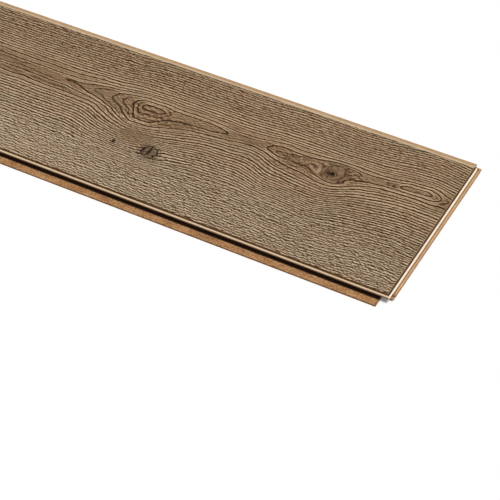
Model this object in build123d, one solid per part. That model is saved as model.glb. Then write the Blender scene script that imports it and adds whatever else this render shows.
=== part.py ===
from build123d import *
from math import asin, atan2, cos, hypot, sin
import os

# Laminate floor plank: one pressed board with a click profile milled along its four edges.
# Millimetres, +Z up, decor face on top. A tongue runs along the rear (+Y) and right (+X) edges,
# and a groove over a longer lower lip runs along the front (-Y) and left (-X) edges.
# The origin is at the middle of the underside, centred on the overall length and width.

# Board, with the face measured from joint line to joint line
face_length = 1285.0
face_width = 192.0
thickness = 12.0

# Bevel along the four top edges
bevel_run = 2.0
bevel_drop = 0.7

# Heights above the underside
pocket_floor = 1.8
ridge_top = 2.6
lip_edge_height = 1.7

# Lower lip and tongue, the same on all edges
flank_run = 0.5
lead_in_run = 1.0
nose_radius = 1.1
foot_reach = 0.5

# Dust pocket along the tongue's root, and chamfer under the upper lip at the groove's mouth
dust_run = 0.8
dust_drop = 0.5
mouth_chamfer = 0.6

# Clearances between a tongue edge and the groove edge of the next plank
fit_gap = 0.1
nose_gap = 0.4
lip_gap = 0.6

# Long edges: groove ceiling above the underside, and reaches outward from the joint line
long_ceiling = 7.0
long_tongue_reach = 9.0
long_pocket_reach = 3.4
long_lip_reach = 6.7

# Short ends: groove ceiling above the underside, and reaches outward from the joint line
end_ceiling = 5.9
end_tongue_reach = 3.0
end_pocket_reach = 5.2
end_lip_reach = 8.5

# Right corners: where the two tongues meet at the rear, the end tongue runs past the rear joint line and
# the long tongue stops short of the end one; at the front the board is trimmed back under the groove
tongue_corner_reach = 5.5
tongue_corner_gap = 3.5
front_corner_trim = 5.7


def underside_touch(foot, centre, radius):
    """Point where the slope rising from the foot runs smoothly into the rounded nose."""
    run = centre[0] - foot[0]
    rise = centre[1] - foot[1]
    slope = atan2(rise, run) - asin(radius / hypot(run, rise))
    return centre[0] + radius * sin(slope), centre[1] - radius * cos(slope)


def tongue_shape(reach, top, radius, foot_height):
    """Flat upper side, rounded nose and sloping underside, as distances outward and heights."""
    centre = (reach - radius, top - radius)
    foot = (foot_reach, foot_height)
    return {
        "upper": (centre[0], top),
        "nose": (reach, centre[1]),
        "touch": underside_touch(foot, centre, radius),
        "foot": foot,
    }


def tongue_edge(ceiling, tongue_reach, pocket_reach, lip_reach):
    """Profile of a tongue edge from the face down to the underside: before and after the nose."""
    tongue = tongue_shape(tongue_reach, ceiling - fit_gap, nose_radius, pocket_floor + fit_gap)
    bulge_end = pocket_reach - fit_gap
    recess_wall = lip_reach + lip_gap
    above = [
        (-bevel_run, thickness),
        (0, thickness - bevel_drop),
        (0, ceiling - fit_gap - dust_drop),
        (dust_run, ceiling - fit_gap),
        tongue["upper"],
    ]
    below = [
        tongue["touch"],
        tongue["foot"],
        (-bulge_end, pocket_floor + fit_gap),
        (-bulge_end - flank_run, ridge_top + fit_gap),
        (-recess_wall, ridge_top + fit_gap),
        (-recess_wall, 0),
    ]
    return above, tongue["nose"], below


def groove_edge(ceiling, tongue_reach, pocket_reach, lip_reach):
    """Profile of a groove edge from the face down to the underside: before and after the groove's end."""
    room = tongue_shape(tongue_reach + nose_gap, ceiling, nose_radius + fit_gap, pocket_floor)
    upper, end, touch, foot = [
        (-room[name][0], room[name][1]) for name in ("upper", "nose", "touch", "foot")
    ]
    above = [
        (-bevel_run, thickness),
        (0, thickness - bevel_drop),
        (0, ceiling + mouth_chamfer),
        (-mouth_chamfer, ceiling),
        upper,
    ]
    below = [
        touch,
        foot,
        (pocket_reach, pocket_floor),
        (pocket_reach + flank_run, ridge_top),
        (lip_reach - lead_in_run, ridge_top),
        (lip_reach, lip_edge_height),
        (lip_reach, 0),
    ]
    return above, end, below


def click_section(span, ceiling, tongue_reach, pocket_reach, lip_reach):
    """Section across the board: tongue at the positive side, groove and lip at the negative side."""
    shift = (lip_reach - tongue_reach) / 2

    def at_tongue(point):
        return shift + span / 2 + point[0], point[1]

    def at_groove(point):
        return shift - span / 2 - point[0], point[1]

    lines = []
    ends = []
    sides = (
        (tongue_edge(ceiling, tongue_reach, pocket_reach, lip_reach), at_tongue),
        (groove_edge(ceiling, tongue_reach, pocket_reach, lip_reach), at_groove),
    )
    for (above, bend, below), place in sides:
        above = [place(point) for point in above]
        below = [place(point) for point in below]
        lines += Polyline(*above).edges()
        lines += ThreePointArc(above[-1], place(bend), below[0]).edges()
        lines += Polyline(*below).edges()
        ends.append((above[0], below[-1]))
    (tongue_top, tongue_base), (groove_top, groove_base) = ends
    lines += Line(tongue_top, groove_top).edges()
    lines += Line(tongue_base, groove_base).edges()
    return make_face(lines)


def corner_relief(low_x, high_x, low_y, high_y, low_z=0.0, high_z=thickness):
    """Block that takes away what one edge's profile leaves loose or thin past the crossing edge."""
    block = Box(
        high_x - low_x, high_y - low_y, high_z - low_z, align=(Align.MIN, Align.MIN, Align.MIN)
    )
    return Pos(low_x, low_y, low_z) * block


overall_length = face_length + end_lip_reach + end_tongue_reach
overall_width = face_width + long_lip_reach + long_tongue_reach
low_x, high_x = -overall_length / 2, overall_length / 2
low_y, high_y = -overall_width / 2, overall_width / 2

# Joint lines of the four edges, where the faces of two planks meet
left_joint = low_x + end_lip_reach
right_joint = high_x - end_tongue_reach
front_joint = low_y + long_lip_reach
rear_joint = high_y - long_tongue_reach

long_section = click_section(
    face_width, long_ceiling, long_tongue_reach, long_pocket_reach, long_lip_reach
)
end_section = click_section(
    face_length, end_ceiling, end_tongue_reach, end_pocket_reach, end_lip_reach
)
milled_along = extrude(Plane.YZ * long_section, overall_length / 2, both=True)
milled_across = extrude(Plane.XZ * end_section, overall_width / 2, both=True)
floor_plank = milled_along & milled_across

# Front right: the lip stops short of the next plank's left lip, and the groove opens downward there
front_lip_end = right_joint - end_lip_reach - lip_gap
front_trim = front_joint + front_corner_trim
floor_plank -= corner_relief(front_lip_end, high_x, low_y, front_trim, high_z=long_ceiling)

# Rear left: the lip stops short of the next row's front lip, and the long tongue clears the end groove
left_lip_end = rear_joint - long_lip_reach - lip_gap
end_groove_bottom = left_joint + end_tongue_reach + nose_gap
floor_plank -= corner_relief(low_x, left_joint, left_lip_end, high_y)
floor_plank -= corner_relief(left_joint, end_groove_bottom, rear_joint, high_y)

# Rear right: the long tongue steps down to the end tongue, which ends a little past the rear joint line
long_tongue_end = right_joint - tongue_corner_gap
end_tongue_top = end_ceiling - fit_gap
end_tongue_end = rear_joint + tongue_corner_reach
floor_plank -= corner_relief(long_tongue_end, high_x, rear_joint, high_y, low_z=end_tongue_top)
floor_plank -= corner_relief(long_tongue_end, high_x, end_tongue_end, high_y)

os.makedirs("parts", exist_ok=True)
export_step(floor_plank, "parts/floor_plank.step")
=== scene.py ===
from math import cos, pi, radians, sin

import bmesh
import bpy
import numpy as np
from mathutils import Matrix, Vector


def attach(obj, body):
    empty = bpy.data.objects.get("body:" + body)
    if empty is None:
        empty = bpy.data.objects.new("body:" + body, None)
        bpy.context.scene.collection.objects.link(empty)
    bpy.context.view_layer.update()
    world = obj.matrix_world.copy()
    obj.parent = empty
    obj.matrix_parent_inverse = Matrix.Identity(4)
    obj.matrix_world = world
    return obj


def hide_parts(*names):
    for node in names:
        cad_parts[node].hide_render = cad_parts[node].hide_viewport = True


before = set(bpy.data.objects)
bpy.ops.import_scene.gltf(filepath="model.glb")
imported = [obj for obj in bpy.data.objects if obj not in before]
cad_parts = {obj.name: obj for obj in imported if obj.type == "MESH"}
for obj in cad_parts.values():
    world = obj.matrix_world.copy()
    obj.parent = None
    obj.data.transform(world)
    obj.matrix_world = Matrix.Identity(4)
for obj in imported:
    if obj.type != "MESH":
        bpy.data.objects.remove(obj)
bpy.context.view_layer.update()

# A laminate floor plank: printed and embossed oak decor on a milled fibreboard core.
# Lengths are metres unless a name ends in _MM. The decor is laid out in millimetres along the
# plank from its right joint line (negative to the left) and across it from its front joint line.

NODE = "floor_plank"
BODY = "root"
PIECE = "oak_plank"
MM = 0.001
TOUCH = 1e-6

# Camera: its direction, and the image point and distance of the joint lines' front right corner
IMAGE_SIZE = 500
SENSOR_WIDTH = 36.0
CAMERA_AZIMUTH = radians(28.61)
CAMERA_ELEVATION = radians(44.09)
CAMERA_LENS = 124.94
CORNER_PIXEL = (388.9, 295.9)
CORNER_DISTANCE = 1.4956

# Light: a high soft key, a weak side light on the right end, and an even sky
KEY_AZIMUTH = radians(52)
KEY_ELEVATION = radians(66)
KEY_STRENGTH = 2.70
KEY_SOFTNESS = radians(18)
SIDE_AZIMUTH = radians(100)
SIDE_ELEVATION = radians(10)
SIDE_STRENGTH = 0.70
SIDE_SOFTNESS = radians(25)
SKY_STRENGTH = 0.17
FLOOR_GREY = 0.9
FLOOR_GLOW = 0.13
FLOOR_ROUGHNESS = 0.9
FLOOR_HALF = 6.0
FLOOR_DROP = 0.0002

# Decor grid: fine columns near the right end, coarse ones along the rest, rows across
FINE_LENGTH_MM = 560.0
FINE_STEP_MM = 1.6
COARSE_STEP_MM = 4.5
ROW_STEP_MM = 1.0

# Embossing: its depth, how it fades at the edges, the share of the rings and the swell between them
RELIEF_MM = 0.09
RELIEF_FADE_MM = 5.0
RING_RELIEF = 0.6
SWELL_RELIEF = 0.4
RING_RELIEF_LAG = 0.1
SWELL_MM = (120, 22)
SWELL_SEED = 51

# Milled edges: sharpest smooth edge, where the parts of the profile begin, how far down the pale painted
# light of the cut edges reaches above their painted shade, and the share of an end bevel above its paint
SMOOTH_ANGLE = radians(28)
POCKET_HEIGHT_MM = 4.0
GROOVE_DEPTH_MM = 12.0
GROOVE_CEILING_MM = 4.0
NOSE_START_MM = 2.0
LIP_HEIGHT_MM = (2.8, 4.2)
LONG_LIT_BAND_MM = 2.2
END_LIT_BAND_MM = 5.2
LIT_BAND_BLUR_MM = 0.25
PAINT_START = 0.25

# Which way a milled face looks, by how much of its normal points up or to a side
DOWNWARD = -0.9
UPRIGHT = 0.1
NOSE_SLOPE = 0.75
LEANING = (0.5, 0.95)
BACKWARD = -0.3
TO_END = 0.5

# Growth rings: the line of the heart along the plank and how deep below the face the heart lies
RING_PITCH_MM = 3.5
OUTER_PITCH_SHARE = 0.08
OUTER_START_MM = 15.0
WIDEST_RING_MM = 45.0
HEART_LINE_MM = (
    (-1285, 108), (-800, 114), (-420, 116), (-353, 117), (-330, 120), (-217, 121.5),
    (-180, 124.5), (-112, 122), (-75, 126), (-45, 131), (-25, 132.5), (0, 130),
)
HEART_DEPTH_MM = (
    (-1285, 8.0), (-1180, 5.2), (-1060, 11.5), (-960, 15.2), (-850, 9.8), (-760, 5.2),
    (-640, 9.6), (-520, 15.4), (-430, 15.2), (-400, 14.7), (-388, 14.0), (-353, 10.5),
    (-330, 7.0), (-321, 3.4), (-304, 3.0), (-292, 5.2), (-240, 5.2), (-222, 7.0),
    (-205, 8.3), (-192, 8.3), (-180, 7.0), (-168, 5.2), (-62, 5.2), (-50, 3.6),
    (-44, 1.6), (-24, 1.6), (-17, 3.5), (-8, 7.0), (0, 8.4),
)

# Zones: where each starts, is full from, is full to, and ends. The first three count from the heart.
FLANK_MM = (-88, -34, -32, 10)
NEAR_HEART_MM = (-40, -15, 18, 44)
RING_BAND_MM = (-98, -66, 18, 44)
LOWER_BAND_MM = (30, 55, 85, 110)

# Changes: where each starts and is full
FRONT_MM = (70, 35)
FRONT_RIPPLE_MM = (75, 40)
REAR_MM = (140, 165)
FRONT_LEFT_MM = (-250, -380)
REAR_LEFT_MM = (-200, -380)
RIGHT_END_MM = (-170, -90)

# Quiet patch beside a knot, with few rings: centre, half sizes, and its edge in half sizes
QUIET_CENTRE_MM = (-303, 76)
QUIET_HALF_MM = (30, 17)
QUIET_EDGE = (1.0, 0.3)

# Dips of the grain in front of the heart: zone along the plank, and how deep
DIPS_MM = (
    ((-375, -316, -312, -225), 18.0),
    ((-200, -162, -112, -78), 8.0),
    ((-760, -705, -690, -620), 12.0),
)

# Waves of the grain and ripples of the rings: height, length, width and seed
LONG_WAVE_MM = (1.6, 170, 45, 11)
SHORT_WAVE_MM = (0.5, 46, 14, 12)
SHIFT_MM = (5, 60, 30, 14)
RIPPLE = (0.14, 14, 5, 16)
HEART_RIPPLE = (0.22, 45, 10, 17)
FRONT_RIPPLE = (0.22, 5, 2.5, 18)
UNEVEN_RINGS = (0.3, 5, 900, 15)
UNEVEN_PER_RING = 4
UNEVEN_START = (2, 5)

# Strength of rings and pores, and tone, by zone
RING_STRENGTH = 0.66
BAND_RINGS = 0.14
FRONT_RINGS = -0.14
QUIET_RINGS = -0.75
PORE_STRENGTH = 0.9
HEART_PORES = -0.35
FRONT_PORES = 0.45
FACE_TONE = -0.02
FRONT_TONE = 0.03
FRONT_LEFT_MORE = 2.2
REAR_TONE = -0.05
REAR_LEFT_MORE = 0.6
LOWER_RIGHT_TONE = -0.04
QUIET_TONE = -0.08

# Knots: centre, half length, half width, dark middle, outline, and how much they push the grain aside
KNOTS_MM = (
    (-279.0, 63.5, 9.8, 8.8, 1.15, 1.0, 0.6),
    (-112.0, 121.0, 11.0, 12.5, 0.3, 0.8, 0.55),
    (-114.5, 118.5, 5.6, 5.2, 0.6, 1.0, 0.0),
    (-114.3, 118.2, 3.0, 2.3, 6.0, 0.0, 0.0),
    (-33.0, 132.8, 4.0, 1.5, 0.8, 0.0, 0.0),
    (-56.0, 130.0, 3.0, 2.2, 1.4, 0.4, 0.0),
    (-159.0, 117.5, 5.5, 2.6, 0.7, 0.3, 0.0),
    (-144.5, 126.0, 4.5, 2.8, 0.5, 0.2, 0.0),
    (-317.0, 61.0, 1.6, 2.8, 6.0, 0.0, 0.0),
    (-668.0, 66.0, 9.0, 8.5, 0.9, 1.0, 0.75),
    (-1012.0, 118.0, 7.0, 7.0, 0.3, 0.8, 0.75),
)
KNOT_REACH = 2.0
KNOT_OWN = 1.05
KNOT_STRETCH = 1.8

# Knot marks, by the distance from the middle in half sizes, which the ramps take halved. Bars across
# a knot have a length and width in half sizes, and a seed.
KNOT_EDGE = ((0.42, 1.0), (0.52, 0.0))
RIM_PLACE = ((0.20, 0.0), (0.38, 1.0), (0.48, 1.0), (0.66, 0.0))
RIMS_PER_KNOT = 3.0
RIM_BREADTH = (0.425, 0.175)
RIM_WORN = 0.6
RIM_WORN_AT_ENDS = 0.5
RIM_ROUGH = 1.6
KNOT_ROUGH_SCALE = 240.0
KNOT_ROUGH_DETAIL = 3.0
KNOT_UNEVEN = 0.35
BARS = (1.3, 0.22, 8)
BAR_DETAIL = 1.0
BAR_STOPS = ((0.40, 1.0), (0.54, 0.0))
BAR_SHADE = 0.75
KNOT_SHADE = 0.24
KNOT_ROUGH_SHADE = 0.8
PLAIN_KNOT = 0.8

# Ring lines: breadth, where they fade out in breadths, the widths at which rings count as wide or flat,
# the fainter lines between wide rings, and the pale wood beside a line
LINE_BREADTH_MM = 0.75
LINE_GROWTH = 0.07
BROADEST_LINE_MM = 1.5
LINE_EDGE = (0.8, 0.3)
WIDE_RING_MM = (6.0, 10.0)
FLAT_RING_MM = (43.75, 31.25)
FAINT_LINE = 0.45
LATE_PLACE_MM = 1.5
LATE_HALF_MM = 2 / 3

# Breaks along the ring lines and stretches of stronger line: length in millimetres, width in gaps or
# rings, and seed
GAPS = (5.5, 1.0, 3)
GAPS_PER_RING = 2.0
GAP_STOPS = ((0.36, 0.4), (0.54, 1.0))
GAP_BY_STRENGTH = 0.5
MIDDLE_STRENGTH = 0.72
ACCENTS = (90.0, 1.2, 23)
ACCENT_EDGE = (0.375, 0.625)
ACCENT_SHARE = 0.3
ACCENT_BASE = 0.75

# Pores: length, width and seed of two kinds, the distance of the painted highlight beside each pore, and
# where each shows
LONG_PORES_MM = (5.5, 1.05, 5)
SHORT_PORES_MM = (2.4, 1.0, 6)
PORE_DETAIL = 0.0
HIGHLIGHT_GAP_MM = 1.05
PORE_EDGE = (-0.04, -0.44)
HIGHLIGHT_EDGE = (0.04, 0.44)

# Fibre, cloud and hue of the print: length, width and seed. A seed moves a pattern along and across
# by so many of its features.
FIBRE_MM = (18.0, 1.0, 9)
FIBRE_DETAIL = 3.0
CLOUD_MM = (160.0, 30.0, 13)
HUE_MM = (75.0, 14.0, 31)
STREAK_DETAIL = 2.0
SEED_ALONG = 7.3
SEED_ACROSS = 3.1

# Tone of the print: its base and what each pattern adds
BASE_TONE = 0.45
FIBRE_TONE = 0.16
CLOUD_TONE = 0.10
HIGHLIGHT_TONE = 0.42
LATE_TONE = 0.58
LINE_TONE = -1.3
PORE_TONE = -0.54

# Colours, in sRGB from 0 to 255, with their place on the tone
BROWN_STOPS = (
    (0.00, (42, 24, 9)),
    (0.25, (84, 58, 34)),
    (0.50, (131, 105, 78)),
    (0.75, (172, 146, 113)),
    (1.00, (212, 187, 152)),
)
GREY_STOPS = (
    (0.00, (40, 26, 12)),
    (0.25, (82, 61, 40)),
    (0.50, (130, 108, 84)),
    (0.75, (172, 150, 122)),
    (1.00, (213, 193, 163)),
)
GREY_FROM_MM = (105.0, 45.0)
RED_HUE = (140, 107, 86)
RED_STOPS = ((0.50, 0.0), (0.70, 0.24))
GREEN_HUE = (122, 110, 84)
GREEN_STOPS = ((0.30, 0.24), (0.50, 0.0))
KNOT_COLOUR = (24, 14, 7)
CORE_STOPS = ((0.34, (150, 112, 74)), (0.5, (182, 146, 106)), (0.66, (206, 170, 128)))
# Browner fibre at the lower lips: painted shade
SHADED_LIP_STOPS = ((0.38, (116, 76, 40)), (0.5, (166, 121, 79)), (0.62, (208, 164, 118)))
# Near black inside the grooves: painted shade
SHADED_GROOVE_STOPS = ((0.34, (26, 14, 7)), (0.5, (40, 23, 12)), (0.66, (56, 35, 20)))
# Darker fibre on the lips' outer faces, the tongue noses, the dust pockets and below the pale bands:
# painted shade
SHADED_CORE_STOPS = ((0.34, (92, 60, 32)), (0.5, (120, 82, 48)), (0.66, (146, 104, 66)))
# Cream on the rear bevel and the face's last row at the rear: painted light
LIT_REAR_STOPS = ((0.34, (176, 150, 120)), (0.5, (200, 177, 147)), (0.66, (216, 196, 168)))
# Pale bands on the long and end cut edges: painted light
WARM_LIGHT_STOPS = ((0.34, (228, 196, 158)), (0.5, (252, 228, 194)), (0.66, (255, 242, 216)))
PALE_LIGHT_STOPS = ((0.34, (236, 214, 184)), (0.5, (254, 242, 222)), (0.66, (255, 250, 238)))
PAPER_STOPS = ((0.34, (150, 128, 102)), (0.5, (166, 144, 116)), (0.66, (182, 160, 132)))
EDGE_STOPS = ((0.34, (112, 88, 66)), (0.5, (138, 112, 88)), (0.66, (164, 138, 112)))
PAINT_STOPS = ((0.3, (62, 38, 14)), (0.7, (94, 62, 30)))

# Surfaces: bump, roughness and gloss, and the size of the fibreboard's flecks
BUMP_DEPTH = 0.0002
DECOR_BUMP = 0.6
LINE_DENT = 0.7
FIBRE_HEIGHT = 0.25
DECOR_ROUGHNESS = 0.52
PORE_ROUGHNESS = 0.16
DECOR_GLOSS = 0.06
CORE_BUMP = 0.35
CORE_ROUGHNESS = 0.82
CORE_GLOSS = 0.2
PAINT_ROUGHNESS = 0.6
PAINT_GLOSS = 0.1
PAINT_SCALE = 320.0
PAINT_DETAIL = 3.0
FLECK_SIZE = 0.0012
PAPER_FLECK_SIZE = 0.004
FLECK_DETAIL = 4.0
FLECK_ROUGHNESS = 0.7
FLECK_SHARE = 0.82
MOTTLE_SCALE = 60.0
MOTTLE_DETAIL = 2.0
MOTTLE_SHARE = 0.18
UNEVEN_HEIGHT = 0.8

# Materials of the plank, in the order of its slots. The rear edge and the upright cut edges carry
# painted light; the lower lips, the shaded core faces and the groove insides carry painted shade.
DECOR, PAINT, ROLLED, LIT_REAR_EDGE, LIT_LONG_LAND, LIT_END_LAND, CORE, SHADED_CORE, SHADED_GROOVE, BACKING = range(10)


def smooth_step(low, high, value):
    """0 at low, 1 at high, and a smooth change between."""
    part = np.clip((value - low) / (high - low), 0, 1)
    return part * part * (3 - 2 * part)


def plateau(zone, value):
    """1 in the full part of a zone, with a smooth fall to 0 at its ends."""
    start, low, high, end = zone
    return smooth_step(start, low, value) * smooth_step(end, high, value)


def wander(x, y, length, width, seed):
    """Smooth random field from -1 to 1 with features of the given length and width."""
    count = 97
    table = np.random.default_rng(seed).uniform(-1, 1, (count, count))
    u, v = x / length, y / width
    i, j = np.floor(u).astype(int), np.floor(v).astype(int)
    p, q = smooth_step(0, 1, u - i), smooth_step(0, 1, v - j)

    def at(a, b):
        return table[(i + a) % count, (j + b) % count]

    low = at(0, 0) * (1 - p) + at(1, 0) * p
    high = at(0, 1) * (1 - p) + at(1, 1) * p
    return low * (1 - q) + high * q


def wave(x, y, shape):
    """Smooth random field of a height, length, width and seed."""
    height, length, width, seed = shape
    return height * wander(x, y, length, width, seed)


def heart_line(x):
    """Where the heart runs across the plank."""
    return np.interp(x, *np.array(HEART_LINE_MM, float).T)


def ring_count(x, across):
    """Growth rings between the heart and a point of the face, closer together away from the heart."""
    stations, depths = np.array(HEART_DEPTH_MM, float).T
    depth = np.interp(x, stations, depths)
    far = np.abs(across - heart_line(x))
    far = far + OUTER_PITCH_SHARE * np.maximum(far - OUTER_START_MM, 0)
    return np.hypot(far, depth) / RING_PITCH_MM


def bent_grain(x, y, from_heart):
    """Position across the grain: a little wavy, dipping beside the heart and pushed aside by knots."""
    across = y + wave(x, y, LONG_WAVE_MM) + wave(x, y, SHORT_WAVE_MM)
    flank = plateau(FLANK_MM, from_heart)
    for zone, drop in DIPS_MM:
        across += drop * flank * plateau(zone, x)
    for centre_x, centre_y, half_x, half_y, _, _, push in KNOTS_MM:
        reach = np.hypot((x - centre_x) / (KNOT_STRETCH * half_x), (y - centre_y) / half_y)
        across -= push * (y - centre_y) / np.maximum(reach, 1.0) ** 2
    return across


def rippled_rings(x, y, across, near):
    """Ring count with slow shifts, rings of uneven width, and ripples near the heart and the front."""
    rings = ring_count(x + wave(x, y, SHIFT_MM), across)
    rings += wave(rings * UNEVEN_PER_RING, x, UNEVEN_RINGS) * smooth_step(*UNEVEN_START, rings)
    rings += wave(x, y, RIPPLE) + near * wave(x, y, HEART_RIPPLE)
    rings += wave(x, y, FRONT_RIPPLE) * smooth_step(*FRONT_RIPPLE_MM, y)
    return rings


def quiet_patch(x, y):
    """1 in the middle of the quiet patch and 0 outside it."""
    reach_x = (x - QUIET_CENTRE_MM[0]) / QUIET_HALF_MM[0]
    reach_y = (y - QUIET_CENTRE_MM[1]) / QUIET_HALF_MM[1]
    return smooth_step(*QUIET_EDGE, np.hypot(reach_x, reach_y))


def face_tone(x, y, front, quiet):
    """Slow changes of tone over the face."""
    front_left = 1 + FRONT_LEFT_MORE * smooth_step(*FRONT_LEFT_MM, x)
    rear_left = 1 + REAR_LEFT_MORE * smooth_step(*REAR_LEFT_MM, x)
    tone = FACE_TONE + FRONT_TONE * front * front_left
    tone += REAR_TONE * smooth_step(*REAR_MM, y) * rear_left
    tone += LOWER_RIGHT_TONE * smooth_step(*RIGHT_END_MM, x) * plateau(LOWER_BAND_MM, y)
    return tone + QUIET_TONE * quiet


def grain_fields(x, y):
    """Position across the grain, ring count and width, strength of rings and pores, and tone."""
    from_heart = y - heart_line(x)
    near = plateau(NEAR_HEART_MM, from_heart)
    band = plateau(RING_BAND_MM, from_heart)
    front = smooth_step(*FRONT_MM, y)
    quiet = quiet_patch(x, y)
    across = bent_grain(x, y, from_heart)
    rings = rippled_rings(x, y, across, near)
    slopes = np.gradient(rings, x[:, 0], y[0])
    width = 1 / np.maximum(np.hypot(*slopes), 1 / WIDEST_RING_MM)
    strength = RING_STRENGTH + BAND_RINGS * band + FRONT_RINGS * front
    strength = strength * (1 + QUIET_RINGS * quiet)
    pores = PORE_STRENGTH + HEART_PORES * near + FRONT_PORES * front
    return across, rings, width, strength, pores, face_tone(x, y, front, quiet)


def knot_fields(x, y):
    """Place inside the nearest knot in half sizes, and how dark its middle and outline are."""
    place_x, place_y = np.full_like(x, KNOT_REACH), np.full_like(x, KNOT_REACH)
    middle, outline = np.zeros_like(x), np.zeros_like(x)
    nearest = np.full_like(x, KNOT_REACH)
    for centre_x, centre_y, half_x, half_y, dark, rim, _ in KNOTS_MM:
        u, v = (x - centre_x) / half_x, (y - centre_y) / half_y
        reach = np.hypot(u, v)
        here = (reach < nearest) | (reach < KNOT_OWN)
        place_x[here], place_y[here] = u[here], v[here]
        middle[here], outline[here] = dark, rim
        nearest[here] = reach[here]
    return place_x, place_y, middle, outline


def even_steps(start, end, step):
    """Positions from start to end, about one step apart."""
    return np.linspace(start, end, round((end - start) / step) + 1)


def grid_lines():
    """Positions along and across the flat face, in millimetres from the joint corner."""
    left, front = (face_low - joint_corner) / MM
    right, rear = (face_high - joint_corner) / MM
    coarse = even_steps(left, -FINE_LENGTH_MM, COARSE_STEP_MM)
    fine = even_steps(-FINE_LENGTH_MM, right, FINE_STEP_MM)
    return np.concatenate([coarse[:-1], fine]), even_steps(front, rear, ROW_STEP_MM)


def link_or_set(tree, socket, value):
    """Links a socket to another one, or sets its own value."""
    if isinstance(value, bpy.types.NodeSocket):
        tree.links.new(value, socket)
    else:
        socket.default_value = value


def add_node(tree, kind, inputs=None, **settings):
    """Adds a shader node with its settings and inputs."""
    made = tree.nodes.new("ShaderNode" + kind)
    for name, value in settings.items():
        setattr(made, name, value)
    for name, value in (inputs or {}).items():
        link_or_set(tree, made.inputs[name], value)
    return made


def calc(tree, operation, *values, clamp=False):
    """Adds a Math node over sockets and numbers and returns its result."""
    made = add_node(tree, "Math", operation=operation, use_clamp=clamp)
    for socket, value in zip(made.inputs, values):
        link_or_set(tree, socket, value)
    return made.outputs[0]


def portion(tree, value, zero_at, one_at):
    """0 at one value and 1 at another, in proportion between and held beyond."""
    slope = 1 / (one_at - zero_at)
    return calc(tree, "MULTIPLY_ADD", value, slope, -zero_at * slope, clamp=True)


def linear(srgb):
    """Linear colour, with alpha, of an sRGB colour in 0 to 255."""
    parts = [c / 255 for c in srgb]
    return [c / 12.92 if c <= 0.04045 else ((c + 0.055) / 1.055) ** 2.4 for c in parts] + [1]


def ramp(tree, factor, stops):
    """Adds a colour ramp; a stop is a position and a grey value or an sRGB colour in 0 to 255."""
    made = add_node(tree, "ValToRGB", {"Fac": factor})
    elements = made.color_ramp.elements
    while len(elements) < len(stops):
        elements.new(0.5)
    for element, (position, colour) in zip(elements, stops):
        element.position = position
        element.color = linear(colour) if isinstance(colour, tuple) else (colour, colour, colour, 1)
    return made.outputs["Color"]


def mix(tree, factor, first, second):
    """Adds a colour mix and returns its result."""
    made = add_node(tree, "Mix", data_type="RGBA")
    values = {"Factor_Float": factor, "A_Color": first, "B_Color": second}
    for socket in made.inputs:
        if socket.identifier in values:
            link_or_set(tree, socket, values[socket.identifier])
    return next(s for s in made.outputs if s.identifier == "Result_Color")


def attribute(tree, name, output="Fac"):
    """Adds a reader of one of the mesh's fields and returns its value."""
    return add_node(tree, "Attribute", attribute_name=name).outputs[output]


def object_noise(tree, scale, detail, **inputs):
    """Adds noise that is fixed to the plank and returns its value."""
    place = add_node(tree, "TexCoord").outputs["Object"]
    inputs = {"Vector": place, "Scale": scale, "Detail": detail, **inputs}
    return add_node(tree, "TexNoise", inputs).outputs[0]


def new_material(name):
    """Node material with its principled shader."""
    material = bpy.data.materials.new(name)
    material.use_nodes = True
    tree = material.node_tree
    return material, tree, tree.nodes["Principled BSDF"]


def stretched(tree, along, across, length, width, seed):
    """Texture position scaled to features of the given length along and width across the grain."""
    x = calc(tree, "MULTIPLY_ADD", along, 1 / length, SEED_ALONG * seed)
    y = calc(tree, "MULTIPLY_ADD", across, 1 / width, SEED_ACROSS * seed)
    return add_node(tree, "CombineXYZ", {"X": x, "Y": y}).outputs[0]


def streaks(tree, along, across, length, width, seed, detail=STREAK_DETAIL):
    """Noise drawn out along the grain."""
    place = stretched(tree, along, across, length, width, seed)
    return add_node(tree, "TexNoise", {"Vector": place, "Scale": 1.0, "Detail": detail}).outputs[0]


def line_breaks(tree, along, rings, strength):
    """How much of a ring line shows: short gaps in it, and long stretches of stronger line."""
    gaps = streaks(tree, along, calc(tree, "MULTIPLY", rings, GAPS_PER_RING), *GAPS)
    stronger = calc(tree, "SUBTRACT", strength, MIDDLE_STRENGTH)
    gaps = calc(tree, "MULTIPLY_ADD", stronger, GAP_BY_STRENGTH, gaps)
    accent = portion(tree, streaks(tree, along, rings, *ACCENTS), *ACCENT_EDGE)
    accent = calc(tree, "MULTIPLY_ADD", accent, ACCENT_SHARE, ACCENT_BASE)
    return calc(tree, "MULTIPLY", ramp(tree, gaps, GAP_STOPS), accent)


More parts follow.
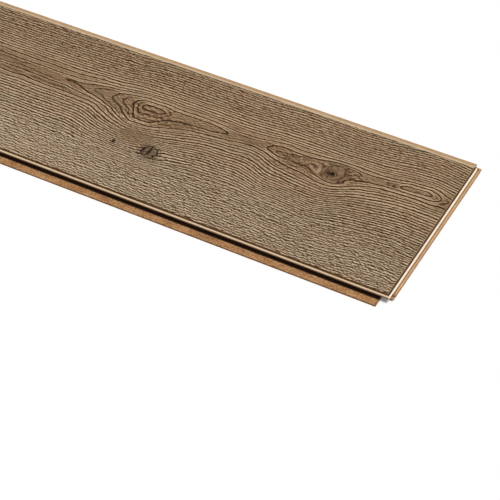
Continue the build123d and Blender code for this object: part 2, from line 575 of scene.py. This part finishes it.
def ring_lines(tree, along, rings, width, strength):
    """Thin dark lines at the growth rings, broken along the grain, and the pale wood beside them."""
    spread = calc(tree, "MAXIMUM", width, RING_PITCH_MM)
    breadth = calc(tree, "MULTIPLY_ADD", spread, LINE_GROWTH, LINE_BREADTH_MM)
    breadth = calc(tree, "MINIMUM", breadth, BROADEST_LINE_MM)
    wide = portion(tree, width, *WIDE_RING_MM)

    def from_line(count):
        phase = calc(tree, "FRACT", calc(tree, "MULTIPLY", rings, count))
        share = calc(tree, "MINIMUM", phase, calc(tree, "SUBTRACT", 1.0, phase))
        return calc(tree, "DIVIDE", calc(tree, "MULTIPLY", share, spread), count)

    def dark(near):
        return portion(tree, calc(tree, "DIVIDE", near, breadth), *LINE_EDGE)

    near = from_line(1.0)
    faint = calc(tree, "MULTIPLY", dark(from_line(2.0)), calc(tree, "MULTIPLY", wide, FAINT_LINE))
    line = calc(tree, "MAXIMUM", dark(near), faint)
    off_late = calc(tree, "ABSOLUTE", calc(tree, "SUBTRACT", near, LATE_PLACE_MM))
    late = portion(tree, off_late, LATE_HALF_MM, 0.0)
    late = calc(tree, "MULTIPLY", late, calc(tree, "SUBTRACT", 1.0, wide))
    line = calc(tree, "MULTIPLY", line, line_breaks(tree, along, rings, strength))
    strength = calc(tree, "MULTIPLY", strength, portion(tree, width, *FLAT_RING_MM))
    return calc(tree, "MULTIPLY", line, strength), calc(tree, "MULTIPLY", late, strength)


def pore_lines(tree, along, across):
    """Fine dark pores drawn out along the grain, each with a pale streak beside it as a painted
    highlight.
    """
    beside = calc(tree, "ADD", across, HIGHLIGHT_GAP_MM)

    def rows(size_and_seed):
        here = streaks(tree, along, across, *size_and_seed, PORE_DETAIL)
        there = streaks(tree, along, beside, *size_and_seed, PORE_DETAIL)
        return calc(tree, "SUBTRACT", here, there)

    both = calc(tree, "ADD", rows(LONG_PORES_MM), rows(SHORT_PORES_MM))
    return portion(tree, both, *PORE_EDGE), portion(tree, both, *HIGHLIGHT_EDGE)


def knot_rims(tree, u, radius, half, rough):
    """Outline and outer rings of a knot, stronger towards its ends and worn in places."""
    phase = calc(tree, "FRACT", calc(tree, "MULTIPLY", radius, RIMS_PER_KNOT))
    off_ring = calc(tree, "ABSOLUTE", calc(tree, "SUBTRACT", phase, 0.5))
    rim = portion(tree, off_ring, *RIM_BREADTH)
    rim = calc(tree, "MULTIPLY", rim, ramp(tree, half, RIM_PLACE))
    worn = calc(tree, "MULTIPLY_ADD", calc(tree, "MULTIPLY", u, u), RIM_WORN_AT_ENDS, RIM_WORN)
    worn = calc(tree, "MULTIPLY_ADD", rough, RIM_ROUGH, worn, clamp=True)
    return calc(tree, "MULTIPLY", calc(tree, "MULTIPLY", rim, worn), attribute(tree, "knot_outline"))


def knot_marks(tree):
    """How much of a knot's dark colour shows, and how far a point is inside a knot."""
    spot = attribute(tree, "knot_place", "Vector")
    u, v, middle = add_node(tree, "SeparateXYZ", {"Vector": spot}).outputs
    rough = object_noise(tree, KNOT_ROUGH_SCALE, KNOT_ROUGH_DETAIL)
    rough = calc(tree, "SUBTRACT", rough, 0.5)
    squares = calc(tree, "MULTIPLY_ADD", u, u, calc(tree, "MULTIPLY", v, v))
    radius = calc(tree, "MULTIPLY_ADD", rough, KNOT_UNEVEN, calc(tree, "SQRT", squares))
    half = calc(tree, "MULTIPLY", radius, 0.5)
    inside = ramp(tree, half, KNOT_EDGE)
    bars = ramp(tree, streaks(tree, v, u, *BARS, BAR_DETAIL), BAR_STOPS)
    shade = calc(tree, "MULTIPLY_ADD", bars, BAR_SHADE, KNOT_SHADE)
    shade = calc(tree, "MULTIPLY_ADD", rough, KNOT_ROUGH_SHADE, shade)
    core = calc(tree, "MULTIPLY", calc(tree, "MULTIPLY", inside, shade), middle)
    rim = knot_rims(tree, u, radius, half, rough)
    return calc(tree, "MAXIMUM", core, rim, clamp=True), inside


def print_tone(tree, fibre, cloud, late, line, pore, pale):
    """Tone of the print, from its base and all its patterns."""
    tone = calc(tree, "MULTIPLY_ADD", fibre, FIBRE_TONE, BASE_TONE)
    tone = calc(tree, "ADD", tone, attribute(tree, "tone"))
    tone = calc(tree, "ADD", tone, calc(tree, "MULTIPLY_ADD", cloud, CLOUD_TONE, -CLOUD_TONE / 2))
    # pale is the painted highlight beside each pore
    for pattern, weight in ((pale, HIGHLIGHT_TONE), (late, LATE_TONE), (line, LINE_TONE), (pore, PORE_TONE)):
        tone = calc(tree, "MULTIPLY_ADD", pattern, weight, tone)
    return tone


def print_colour(tree, along, across, tone, knot):
    """Colour of the print: browner at the rear, greyer at the front, with patches of hue and knots."""
    grey = portion(tree, across, *GREY_FROM_MM)
    colour = mix(tree, grey, ramp(tree, tone, BROWN_STOPS), ramp(tree, tone, GREY_STOPS))
    hue = streaks(tree, along, across, *HUE_MM)
    colour = mix(tree, ramp(tree, hue, RED_STOPS), colour, linear(RED_HUE))
    colour = mix(tree, ramp(tree, hue, GREEN_STOPS), colour, linear(GREEN_HUE))
    return mix(tree, knot, colour, linear(KNOT_COLOUR))


def add_bump(tree, shader, height, strength):
    """Joins a fine relief to the shader."""
    bump = add_node(tree, "Bump", {"Height": height, "Strength": strength, "Distance": BUMP_DEPTH})
    tree.links.new(bump.outputs[0], shader.inputs["Normal"])


def decor_material():
    """Brown oak print: rings and rows of pores, pale streaks painted as the pores' highlights, knots and
    soft changes of tone.
    """
    material, tree, shader = new_material("oak_decor")
    grain = attribute(tree, "grain", "Vector")
    along, across, rings = add_node(tree, "SeparateXYZ", {"Vector": grain}).outputs
    width = attribute(tree, "ring_width")
    line, late = ring_lines(tree, along, rings, width, attribute(tree, "ring_strength"))
    # pale holds the painted highlight beside each pore
    pore, pale = pore_lines(tree, along, across)
    knot, inside = knot_marks(tree)
    fibre = streaks(tree, along, across, *FIBRE_MM, FIBRE_DETAIL)
    cloud = streaks(tree, along, across, *CLOUD_MM)
    plain = calc(tree, "MULTIPLY_ADD", inside, -PLAIN_KNOT, 1.0)
    loose = calc(tree, "MULTIPLY", plain, attribute(tree, "pore_strength"))
    line, late = [calc(tree, "MULTIPLY", part, plain) for part in (line, late)]
    pore, pale = [calc(tree, "MULTIPLY", part, loose) for part in (pore, pale)]

    tone = print_tone(tree, fibre, cloud, late, line, pore, pale)
    colour = print_colour(tree, along, across, tone, knot)
    tree.links.new(colour, shader.inputs["Base Color"])
    dents = calc(tree, "MAXIMUM", pore, calc(tree, "MULTIPLY", line, LINE_DENT))
    dents = calc(tree, "MAXIMUM", dents, knot)
    height = calc(tree, "SUBTRACT", calc(tree, "MULTIPLY", fibre, FIBRE_HEIGHT), dents)
    add_bump(tree, shader, height, DECOR_BUMP)
    roughness = calc(tree, "MULTIPLY_ADD", pore, PORE_ROUGHNESS, DECOR_ROUGHNESS)
    tree.links.new(roughness, shader.inputs["Roughness"])
    shader.inputs["Specular IOR Level"].default_value = DECOR_GLOSS
    return material


def fibre_tone(tree, fleck_size):
    """Fleck and cloud pattern of pressed wood fibre, and the fleck alone for the bump."""
    fleck = object_noise(tree, 1 / fleck_size, FLECK_DETAIL, Roughness=FLECK_ROUGHNESS)
    mottle = object_noise(tree, MOTTLE_SCALE, MOTTLE_DETAIL)
    flecks = calc(tree, "MULTIPLY", fleck, FLECK_SHARE)
    return calc(tree, "MULTIPLY_ADD", mottle, MOTTLE_SHARE, flecks), fleck


def finish_fibre(tree, shader, colour, fleck):
    """Joins colour and fine bump to the shader and gives it a dry surface."""
    tree.links.new(colour, shader.inputs["Base Color"])
    add_bump(tree, shader, fleck, CORE_BUMP)
    shader.inputs["Roughness"].default_value = CORE_ROUGHNESS
    shader.inputs["Specular IOR Level"].default_value = CORE_GLOSS


def fibre_material(name, stops, fleck_size=FLECK_SIZE):
    """Pressed wood fibre in one range of colours."""
    material, tree, shader = new_material(name)
    tone, fleck = fibre_tone(tree, fleck_size)
    finish_fibre(tree, shader, ramp(tree, tone, stops), fleck)
    return material


def height_share(tree, low, high, fleck):
    """0 below one height and 1 above another, with an uneven line between."""
    place = add_node(tree, "TexCoord").outputs["Object"]
    height = add_node(tree, "SeparateXYZ", {"Vector": place}).outputs[2]
    share = calc(tree, "DIVIDE", calc(tree, "SUBTRACT", height, low), high - low)
    uneven = calc(tree, "MULTIPLY_ADD", fleck, UNEVEN_HEIGHT, -UNEVEN_HEIGHT / 2)
    return calc(tree, "ADD", share, uneven, clamp=True)


def layered_material(name, low, high, lower_stops, upper_stops):
    """Pressed wood fibre in two ranges of colours, one below a height and one above another."""
    material, tree, shader = new_material(name)
    tone, fleck = fibre_tone(tree, FLECK_SIZE)
    share = height_share(tree, low, high, fleck)
    colour = mix(tree, share, ramp(tree, tone, lower_stops), ramp(tree, tone, upper_stops))
    finish_fibre(tree, shader, colour, fleck)
    return material


def core_material():
    """Milled fibreboard, browner at the height of the lower lips as painted shade."""
    low, high = LIP_HEIGHT_MM
    return layered_material("fibreboard", low * MM, high * MM, SHADED_LIP_STOPS, CORE_STOPS)


def painted_light_material(name, lit_mm, lit_stops):
    """Cut edge painted pale as light down from the bevel, ending unevenly on a browner band of painted
    shade.
    """
    lit_end = rim_z - lit_mm * MM
    low, high = lit_end - LIT_BAND_BLUR_MM * MM, lit_end + LIT_BAND_BLUR_MM * MM
    return layered_material(name, low, high, SHADED_CORE_STOPS, lit_stops)


def paint_material():
    """Dark brown paint on the pressed bevels, a little uneven."""
    material, tree, shader = new_material("bevel_paint")
    colour = ramp(tree, object_noise(tree, PAINT_SCALE, PAINT_DETAIL), PAINT_STOPS)
    tree.links.new(colour, shader.inputs["Base Color"])
    shader.inputs["Roughness"].default_value = PAINT_ROUGHNESS
    shader.inputs["Specular IOR Level"].default_value = PAINT_GLOSS
    return material


def plank_materials():
    """Materials in the order of the slots."""
    return (
        decor_material(),
        paint_material(),
        fibre_material("rolled_edge", EDGE_STOPS),
        fibre_material("rear_edge_painted_light", LIT_REAR_STOPS),
        painted_light_material("long_edge_painted_light_and_shade", LONG_LIT_BAND_MM, WARM_LIGHT_STOPS),
        painted_light_material("end_edge_painted_light_and_shade", END_LIT_BAND_MM, PALE_LIGHT_STOPS),
        core_material(),
        fibre_material("core_painted_shade", SHADED_CORE_STOPS),
        fibre_material("groove_painted_shade", SHADED_GROOVE_STOPS),
        fibre_material("backing_paper", PAPER_STOPS, PAPER_FLECK_SIZE),
    )


def board_without_face(source):
    """Copy of the milled board with its flat face and bevels taken off."""
    mesh = bmesh.new()
    mesh.from_mesh(source)
    bmesh.ops.remove_doubles(mesh, verts=mesh.verts, dist=TOUCH)
    top = [f for f in mesh.faces if min(v.co.z for v in f.verts) > rim_z - TOUCH]
    bmesh.ops.delete(mesh, geom=top, context="FACES_ONLY")
    loose = [v for v in mesh.verts if v.co.z > top_z - TOUCH]
    bmesh.ops.delete(mesh, geom=loose, context="VERTS")
    return mesh


def milled_slot(face):
    """Material of a milled face, by where it is and which way it faces. Groove insides, the lips' outer
    faces, the tongue noses and the dust pockets get painted shade; the upright cut edges get pale
    painted light with painted shade below.
    """
    centre = face.calc_center_median()
    normal = face.normal
    if normal.z < DOWNWARD and centre.z < TOUCH:
        return BACKING
    inset = min(centre.x - joint_low[0], centre.y - joint_low[1])
    outside = max(centre.x - joint_high[0], centre.y - joint_high[1])
    past_end = max(vert.co.x for vert in face.verts) > joint_high[0] + TOUCH
    under_face = TOUCH < inset < GROOVE_DEPTH_MM * MM and not past_end
    # Faces inside a groove: painted shade
    if under_face and centre.z < rim_z - GROOVE_CEILING_MM * MM:
        return SHADED_GROOVE
    # Outer faces of the lower lips: painted shade
    if centre.z < LIP_HEIGHT_MM[0] * MM and abs(normal.z) < UPRIGHT:
        return SHADED_CORE
    # Noses of the tongues: painted shade
    if outside > NOSE_START_MM * MM and abs(normal.z) < NOSE_SLOPE:
        return SHADED_CORE
    # Faces of the dust pocket at a tongue's root: painted shade
    leans_back = LEANING[0] < normal.z < LEANING[1] and min(normal.x, normal.y) < BACKWARD
    if leans_back and centre.z > POCKET_HEIGHT_MM * MM:
        return SHADED_CORE
    if abs(normal.z) > UPRIGHT or max(v.co.z for v in face.verts) < rim_z - TOUCH:
        return CORE
    # Upright cut edges up to the joint lines: pale painted light, with painted shade lower down
    return LIT_END_LAND if abs(normal.x) > TO_END else LIT_LONG_LAND


def relief_depth(x, y, columns, rows, across, rings, strength):
    """How deep the embossing lies below the face, in millimetres."""
    inset = np.minimum.reduce([x - columns[0], columns[-1] - x, y - rows[0], rows[-1] - y])
    groove = strength * (0.5 + 0.5 * np.cos(2 * pi * (rings - RING_RELIEF_LAG)))
    swell = 0.5 + 0.5 * wander(x, across, *SWELL_MM, SWELL_SEED)
    shape = RING_RELIEF * groove + SWELL_RELIEF * swell
    return RELIEF_MM * shape * smooth_step(0, RELIEF_FADE_MM, inset)


def add_fields(mesh, vectors, numbers):
    """Adds the named fields to the mesh's points; gives each one's layer and values."""
    layers = mesh.verts.layers
    made = [(layers.float_vector.new(name), np.stack(field, axis=-1)) for name, field in vectors.items()]
    made += [(layers.float.new(name), field) for name, field in numbers.items()]
    return made


def add_grid(mesh, places, fields):
    """Points of the face in columns, each with its fields, and the quads between them."""
    columns, rows = places.shape[:2]
    grid = []
    for i in range(columns):
        line = []
        for j in range(rows):
            vert = mesh.verts.new(places[i, j])
            for layer, field in fields:
                vert[layer] = field[i, j]
            line.append(vert)
        grid.append(line)
    for i in range(columns - 1):
        for j in range(rows - 1):
            corners = (grid[i][j], grid[i + 1][j], grid[i + 1][j + 1], grid[i][j + 1])
            quad = mesh.faces.new(corners)
            # The face's last row at the rear takes the rear bevel's painted light
            quad.material_index = LIT_REAR_EDGE if j == rows - 2 else DECOR
    return grid


def add_decor(mesh):
    """Embossed face: a grid that carries the grain's position and rings at each point."""
    columns, rows = grid_lines()
    x, y = np.meshgrid(columns, rows, indexing="ij")
    across, rings, width, strength, pores, tone = grain_fields(x, y)
    knot_x, knot_y, middle, outline = knot_fields(x, y)
    sunk = relief_depth(x, y, columns, rows, across, rings, strength)
    places = np.stack(
        [joint_corner[0] + x * MM, joint_corner[1] + y * MM, top_z - sunk * MM], axis=-1
    )
    vectors = {"grain": (x, across, rings), "knot_place": (knot_x, knot_y, middle)}
    numbers = {
        "ring_width": width,
        "ring_strength": strength,
        "pore_strength": pores,
        "tone": tone,
        "knot_outline": outline,
    }
    return add_grid(mesh, places, add_fields(mesh, vectors, numbers))


def rim_corners(mesh):
    """Corners of the joint lines, by side."""
    rim = {}
    for vert in mesh.verts:
        if abs(vert.co.z - rim_z) < TOUCH:
            side = "right" if vert.co.x > 0 else "left"
            rim[side, "rear" if vert.co.y > 0 else "front"] = vert
    return rim


def add_bevels(mesh, grid):
    """Bevels between the decor's edge and the joint lines, painted on their outer part at the ends; the
    rear bevel is coloured with painted light.
    """
    inner = {
        ("left", "front"): grid[0][0],
        ("right", "front"): grid[-1][0],
        ("right", "rear"): grid[-1][-1],
        ("left", "rear"): grid[0][-1],
    }
    rim = rim_corners(mesh)
    middle = {
        corner: mesh.verts.new(inner[corner].co.lerp(rim[corner].co, PAINT_START)) for corner in rim
    }
    front = [line[0] for line in grid]
    rear = [line[-1] for line in grid]
    sides = (
        (("left", "front"), ("right", "front"), front[::-1], PAINT, PAINT),
        (("right", "front"), ("right", "rear"), grid[-1][::-1], ROLLED, PAINT),
        # Rear bevel: painted light on both parts
        (("right", "rear"), ("left", "rear"), rear, LIT_REAR_EDGE, LIT_REAR_EDGE),
        (("left", "rear"), ("left", "front"), grid[0], ROLLED, PAINT),
    )
    for start, end, decor_edge, upper_slot, lower_slot in sides:
        upper = mesh.faces.new([middle[start], middle[end]] + decor_edge)
        upper.material_index = upper_slot
        lower = mesh.faces.new([rim[start], rim[end], middle[end], middle[start]])
        lower.material_index = lower_slot


def shade_edges(mesh):
    """Smooth shading that stops at sharp edges and at the edges of a material."""
    for face in mesh.faces:
        face.smooth = True
    for edge in mesh.edges:
        if len(edge.link_faces) == 2:
            first, second = edge.link_faces
            same = first.material_index == second.material_index
            edge.smooth = same and edge.calc_face_angle() < SMOOTH_ANGLE


def add_plank():
    """The dressed plank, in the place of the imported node."""
    mesh = board_without_face(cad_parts[NODE].data)
    mesh.normal_update()
    for face in mesh.faces:
        face.material_index = milled_slot(face)
    grid = add_decor(mesh)
    add_bevels(mesh, grid)
    mesh.normal_update()
    shade_edges(mesh)
    data = bpy.data.meshes.new(PIECE)
    mesh.to_mesh(data)
    mesh.free()
    for material in plank_materials():
        data.materials.append(material)
    plank = bpy.data.objects.new(PIECE, data)
    bpy.context.scene.collection.objects.link(plank)
    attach(plank, BODY)
    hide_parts(NODE)


def direction(azimuth, elevation):
    """Unit vector from the plank towards that azimuth, 0 at the front, and elevation."""
    return Vector((sin(azimuth) * cos(elevation), -cos(azimuth) * cos(elevation), sin(elevation)))


def add_camera():
    """Camera that sees the joint lines' front right corner at its place in the image."""
    back = direction(CAMERA_AZIMUTH, CAMERA_ELEVATION)
    right = Vector((cos(CAMERA_AZIMUTH), sin(CAMERA_AZIMUTH), 0))
    up = back.cross(right)
    focal = CAMERA_LENS / SENSOR_WIDTH * IMAGE_SIZE
    offset_x = (CORNER_PIXEL[0] - IMAGE_SIZE / 2) / focal * CORNER_DISTANCE
    offset_y = (IMAGE_SIZE / 2 - CORNER_PIXEL[1]) / focal * CORNER_DISTANCE
    corner = Vector((joint_corner[0], joint_corner[1], top_z))
    place = corner - right * offset_x - up * offset_y + back * CORNER_DISTANCE
    data = bpy.data.cameras.new("camera")
    data.lens = CAMERA_LENS
    data.sensor_width = SENSOR_WIDTH
    camera = bpy.data.objects.new("camera", data)
    turn = Matrix((right, up, back)).transposed().to_4x4()
    camera.matrix_world = Matrix.Translation(place) @ turn
    bpy.context.scene.collection.objects.link(camera)
    bpy.context.scene.camera = camera


def add_sun(name, azimuth, elevation, strength, softness):
    """Broad soft light from one direction."""
    data = bpy.data.lights.new(name, "SUN")
    data.energy = strength
    data.angle = softness
    sun = bpy.data.objects.new(name, data)
    sun.rotation_euler = direction(azimuth, elevation).to_track_quat("Z", "Y").to_euler()
    bpy.context.scene.collection.objects.link(sun)


def seen_directly(tree):
    """1 for rays that show the backdrop as it is: from the camera, a gloss or a clear surface."""
    path = add_node(tree, "LightPath").outputs
    seen = calc(tree, "MAXIMUM", path["Is Camera Ray"], path["Is Glossy Ray"])
    return calc(tree, "MAXIMUM", seen, path["Is Transmission Ray"])


def add_world():
    """White where it is seen, and a soft even light elsewhere."""
    world = bpy.data.worlds.new("studio")
    world.use_nodes = True
    tree = world.node_tree
    shown = calc(tree, "MULTIPLY_ADD", seen_directly(tree), 1 - SKY_STRENGTH, SKY_STRENGTH)
    sky = tree.nodes["Background"]
    sky.inputs["Color"].default_value = (1, 1, 1, 1)
    tree.links.new(shown, sky.inputs["Strength"])
    bpy.context.scene.world = world


def add_floor():
    """Pale floor that reads as white and keeps the plank's soft shadow."""
    material, tree, shader = new_material("floor_white")
    shader.inputs["Base Color"].default_value = (FLOOR_GREY, FLOOR_GREY, FLOOR_GREY, 1)
    shader.inputs["Roughness"].default_value = FLOOR_ROUGHNESS
    shader.inputs["Specular IOR Level"].default_value = 0.0
    shader.inputs["Emission Color"].default_value = (1, 1, 1, 1)
    glow = calc(tree, "MULTIPLY", seen_directly(tree), FLOOR_GLOW)
    tree.links.new(glow, shader.inputs["Emission Strength"])
    data = bpy.data.meshes.new("floor")
    corners = [(-1, -1), (1, -1), (1, 1), (-1, 1)]
    corners = [(x * FLOOR_HALF, y * FLOOR_HALF, -FLOOR_DROP) for x, y in corners]
    data.from_pydata(corners, [], [(0, 1, 2, 3)])
    data.materials.append(material)
    floor = bpy.data.objects.new("floor", data)
    bpy.context.scene.collection.objects.link(floor)


# Flat face and joint lines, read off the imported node
points = np.array([v.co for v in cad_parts[NODE].data.vertices])
top_z = points[:, 2].max()
face_points = points[points[:, 2] > top_z - TOUCH]
face_low, face_high = face_points[:, :2].min(axis=0), face_points[:, :2].max(axis=0)
rim_z = points[points[:, 2] < top_z - 10 * TOUCH][:, 2].max()
rim_points = points[abs(points[:, 2] - rim_z) < TOUCH]
joint_low, joint_high = rim_points[:, :2].min(axis=0), rim_points[:, :2].max(axis=0)
joint_corner = np.array([joint_high[0], joint_low[1]])

add_plank()
add_camera()
add_sun("key", KEY_AZIMUTH, KEY_ELEVATION, KEY_STRENGTH, KEY_SOFTNESS)
add_sun("side", SIDE_AZIMUTH, SIDE_ELEVATION, SIDE_STRENGTH, SIDE_SOFTNESS)
add_world()
add_floor()
bpy.context.scene.view_settings.view_transform = "Standard"
